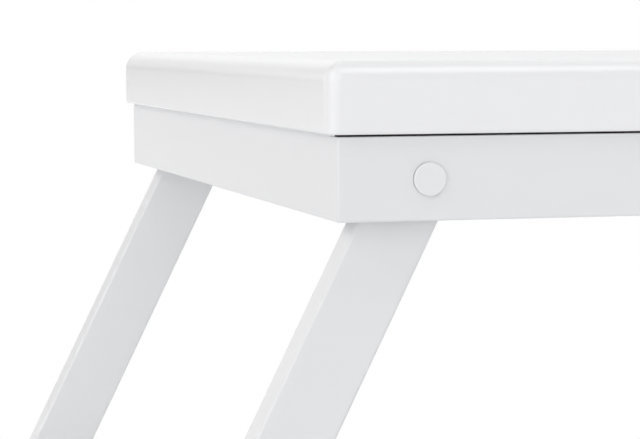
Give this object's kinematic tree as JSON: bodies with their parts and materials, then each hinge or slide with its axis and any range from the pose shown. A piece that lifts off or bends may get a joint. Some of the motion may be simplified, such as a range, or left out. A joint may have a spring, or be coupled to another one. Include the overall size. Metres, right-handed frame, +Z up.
{
  "type": "bed tray table",
  "caption": "White bed tray table: a thick round-edged board on a shallow box of aprons, with splayed leg frames that fold flat up into the box.",
  "frame": {"origin": "on the floor, under the middle of the board, with the legs opened", "axes": "+X along the board to the right, +Y to the rear, +Z up out of the board's upper face"},
  "size_m": [0.7136, 0.34, 0.24],
  "materials": {
    "board_lacquer": "white satin lacquer over wood board",
    "frame_lacquer": "white satin lacquer over wood, a shade greyer than the board",
    "cap_plastic": "moulded, satin",
    "nylon": "natural nylon",
    "plated_steel": "bright zinc plated",
    "screw_steel": "yellow zinc plated"
  },
  "bodies": {
    "tray": {"top_board": "board_lacquer", "front_apron": "frame_lacquer", "rear_apron": "frame_lacquer", "left_end_apron": "frame_lacquer", "right_end_apron": "frame_lacquer", "left_cleat": "frame_lacquer", "right_cleat": "frame_lacquer", "front_left_cap": "cap_plastic", "front_right_cap": "cap_plastic", "rear_left_cap": "cap_plastic", "rear_right_cap": "cap_plastic", "front_left_bolt": "plated_steel", "front_right_bolt": "plated_steel", "rear_left_bolt": "plated_steel", "rear_right_bolt": "plated_steel", "spacer_washers": "nylon", "nut_washers": "plated_steel", "lock_nuts": "plated_steel", "board_screws": "screw_steel"},
    "left_leg_frame": {"left_front_leg": "frame_lacquer", "left_rear_leg": "frame_lacquer", "left_stretcher": "frame_lacquer"},
    "right_leg_frame": {"right_front_leg": "frame_lacquer", "right_rear_leg": "frame_lacquer", "right_stretcher": "frame_lacquer"}
  },
  "joints": [
    {"name": "left_leg_hinge", "type": "hinge", "parent": "tray", "child": "left_leg_frame", "pos_m": [-0.2431, 0, 0.20455], "axis": [0, -1, 0], "range_deg": [0, 116.25]},
    {"name": "right_leg_hinge", "type": "hinge", "parent": "tray", "child": "right_leg_frame", "pos_m": [0.2431, 0, 0.20455], "axis": [0, 1, 0], "range_deg": [0, 116.25]}
  ]
}
